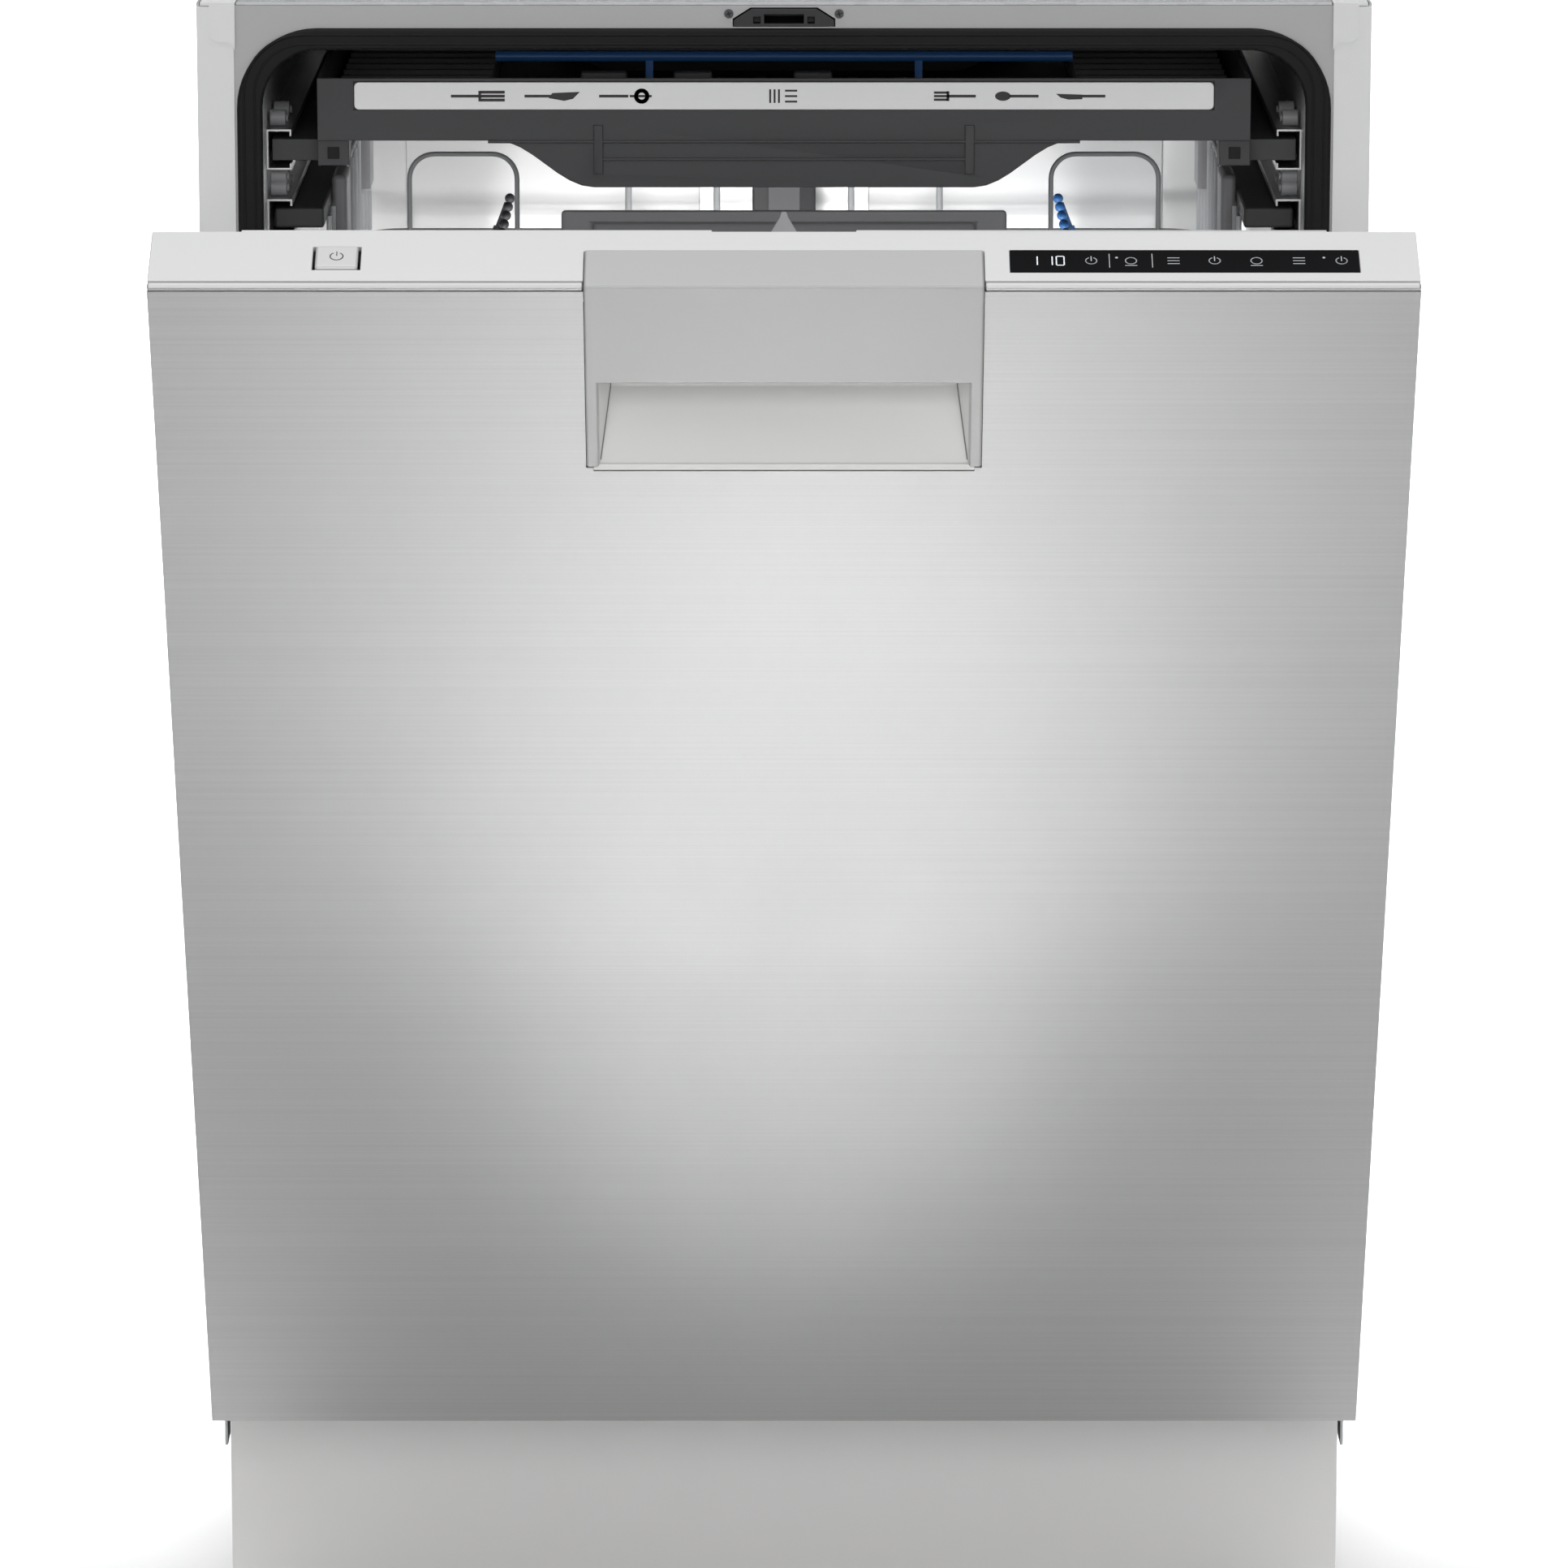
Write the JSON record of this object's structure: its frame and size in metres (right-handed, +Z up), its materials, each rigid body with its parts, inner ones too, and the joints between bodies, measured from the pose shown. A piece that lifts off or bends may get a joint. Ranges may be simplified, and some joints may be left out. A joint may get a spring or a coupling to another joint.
{
  "type": "built in dishwasher",
  "caption": "Sixty centimetre built-in dishwasher with a pull-down stainless door, cutlery tray, sliding baskets and spray arms.",
  "frame": {"origin": "on the floor under the middle of the box around the machine with its door ajar", "axes": "+Z up, the door opens towards -Y, +X to the right as seen from the front"},
  "size_m": [0.596, 0.8825, 0.858],
  "materials": {
    "stainless": "fine horizontal brushing",
    "tub_steel": "bright satin",
    "galvanised": "zinc coated sheet",
    "spring_steel": "oiled",
    "rubber": "matt",
    "grey_plastic": "fine grain",
    "dark_plastic": "fine grain",
    "light_plastic": "satin",
    "blue_plastic": "satin",
    "silver_paint": "satin silver",
    "trim_aluminium": "satin anodised",
    "coated_wire": "nylon coating",
    "black_glass": "polished",
    "wool": "bitumen felt"
  },
  "bodies": {
    "cabinet": {"tub": "tub_steel", "front_frame": "silver_paint", "side_panels": "galvanised", "top_panel": "galvanised", "rear_panel": "galvanised", "base_tray": "dark_plastic", "plinth_panel": "silver_paint", "levelling_feet": "dark_plastic", "door_seal": "rubber", "side_trims": "silver_paint", "corner_brackets": "galvanised", "latch_housing": "dark_plastic", "latch_screws": "spring_steel", "hinge_brackets": "galvanised", "balance_springs": "spring_steel", "sump": "dark_plastic", "circulation_pump": "grey_plastic", "drain_pump": "grey_plastic", "water_softener": "light_plastic", "water_chamber": "light_plastic", "inlet_valve": "light_plastic", "drain_outlet": "grey_plastic", "mains_gland": "dark_plastic", "water_duct": "dark_plastic", "filter_plate": "tub_steel", "tray_rails": "tub_steel", "basket_rails": "tub_steel"},
    "door": {"door_panel": "stainless", "door_fascia": "silver_paint", "door_liner": "tub_steel", "door_insulation": "wool", "door_hinge_arms": "galvanised", "door_striker": "galvanised", "handle_trim": "trim_aluminium", "handle_pocket": "light_plastic", "display_window": "black_glass", "dispenser": "grey_plastic"},
    "power_key": {"power_key": "silver_paint"},
    "dispenser_lid": {"dispenser_lid": "light_plastic"},
    "rinse_aid_cap": {"rinse_aid_cap": "dark_plastic"},
    "cutlery_tray": {"cutlery_tray": "dark_plastic", "tray_front_strip": "trim_aluminium", "cutlery_inserts": "dark_plastic"},
    "upper_basket": {"upper_basket": "coated_wire", "upper_basket_handle": "grey_plastic", "soft_spikes": "blue_plastic"},
    "glass_rests": {"glass_rests": "coated_wire"},
    "middle_spray_arm": {"middle_spray_arm": "grey_plastic"},
    "ceiling_spray_arm": {"ceiling_spray_arm": "grey_plastic"},
    "lower_spray_arm": {"lower_spray_arm": "grey_plastic"},
    "satellite_spray_arm": {"satellite_spray_arm": "light_plastic"},
    "lower_basket": {"lower_basket": "coated_wire", "lower_basket_handle": "grey_plastic", "wheel_carriers": "grey_plastic"},
    "plate_rack_left": {"plate_rack_left": "coated_wire"},
    "plate_rack_right": {"plate_rack_right": "coated_wire"},
    "wheels_front": {"wheels_front": "grey_plastic"},
    "wheels_rear": {"wheels_rear": "grey_plastic"},
    "filter_cylinder": {"filter_cylinder": "grey_plastic"},
    "salt_cap": {"salt_cap": "grey_plastic"}
  },
  "joints": [
    {"name": "door_hinge", "type": "hinge", "parent": "cabinet", "child": "door", "pos_m": [0, -0.09551, 0.156], "axis": [1, 0, 0], "range_deg": [-26.5, 63.5]},
    {"name": "power_key_press", "type": "slide", "parent": "door", "child": "power_key", "axis": [0, 0.4462, -0.8949], "range_m": [0, 0.001], "stiffness_N_per_m": 600, "springref_m": -0.001},
    {"name": "dispenser_lid_hinge", "type": "hinge", "parent": "door", "child": "dispenser_lid", "pos_m": [0.048, -0.24701, 0.51792], "axis": [-1, 0, 0], "range_deg": [0, 100]},
    {"name": "rinse_aid_cap_turn", "type": "hinge", "parent": "door", "child": "rinse_aid_cap", "pos_m": [0.113, -0.29672, 0.58086], "axis": [0, 0.8949, 0.4462], "range_deg": [0, 90]},
    {"name": "cutlery_tray_slide", "type": "slide", "parent": "cabinet", "child": "cutlery_tray", "axis": [0, -1, 0], "range_m": [0, 0.25]},
    {"name": "upper_basket_slide", "type": "slide", "parent": "cabinet", "child": "upper_basket", "axis": [0, -1, 0], "range_m": [0, 0.2]},
    {"name": "glass_rests_fold", "type": "hinge", "parent": "upper_basket", "child": "glass_rests", "pos_m": [0, 0.01349, 0.614], "axis": [-1, 0, 0], "range_deg": [0, 88]},
    {"name": "middle_spray_arm_spin", "type": "hinge", "parent": "upper_basket", "child": "middle_spray_arm", "pos_m": [0, 0.16649, 0.583], "axis": [0, 0, 1], "continuous": true},
    {"name": "ceiling_spray_arm_spin", "type": "hinge", "parent": "cabinet", "child": "ceiling_spray_arm", "pos_m": [0, 0.16649, 0.83], "axis": [0, 0, 1], "continuous": true},
    {"name": "lower_spray_arm_spin", "type": "hinge", "parent": "cabinet", "child": "lower_spray_arm", "pos_m": [0, 0.16649, 0.1902], "axis": [0, 0, 1], "continuous": true},
    {"name": "satellite_spray_arm_spin", "type": "hinge", "parent": "lower_spray_arm", "child": "satellite_spray_arm", "pos_m": [0.151, 0.16649, 0.1902], "axis": [0, 0, 1], "continuous": true},
    {"name": "lower_basket_slide", "type": "slide", "parent": "cabinet", "child": "lower_basket", "axis": [0, -1, 0], "range_m": [0, 0.032]},
    {"name": "plate_rack_left_fold", "type": "hinge", "parent": "lower_basket", "child": "plate_rack_left", "pos_m": [-0.12, 0.16649, 0.2182], "axis": [0, -1, 0], "range_deg": [0, 85]},
    {"name": "plate_rack_right_fold", "type": "hinge", "parent": "lower_basket", "child": "plate_rack_right", "pos_m": [0.12, 0.16649, 0.2182], "axis": [0, 1, 0], "range_deg": [0, 85]},
    {"name": "wheels_front_spin", "type": "hinge", "parent": "lower_basket", "child": "wheels_front", "pos_m": [0, 0.00149, 0.1935], "axis": [1, 0, 0], "range_deg": [0, 115.59]},
    {"name": "wheels_rear_spin", "type": "hinge", "parent": "lower_basket", "child": "wheels_rear", "pos_m": [0, 0.33149, 0.1935], "axis": [1, 0, 0], "range_deg": [0, 115.59]},
    {"name": "filter_cylinder_turn", "type": "hinge", "parent": "cabinet", "child": "filter_cylinder", "pos_m": [0, 0.21849, 0.1772], "axis": [0, 0, 1], "range_deg": [0, 90]},
    {"name": "salt_cap_turn", "type": "hinge", "parent": "cabinet", "child": "salt_cap", "pos_m": [-0.15, 0.30549, 0.1772], "axis": [0, 0, 1], "range_deg": [0, 180]}
  ],
  "couplings": [
    {"joint": "wheels_front_spin", "follows": "lower_basket_slide", "rad_per_m": 62.5},
    {"joint": "wheels_rear_spin", "follows": "lower_basket_slide", "rad_per_m": 62.5}
  ]
}
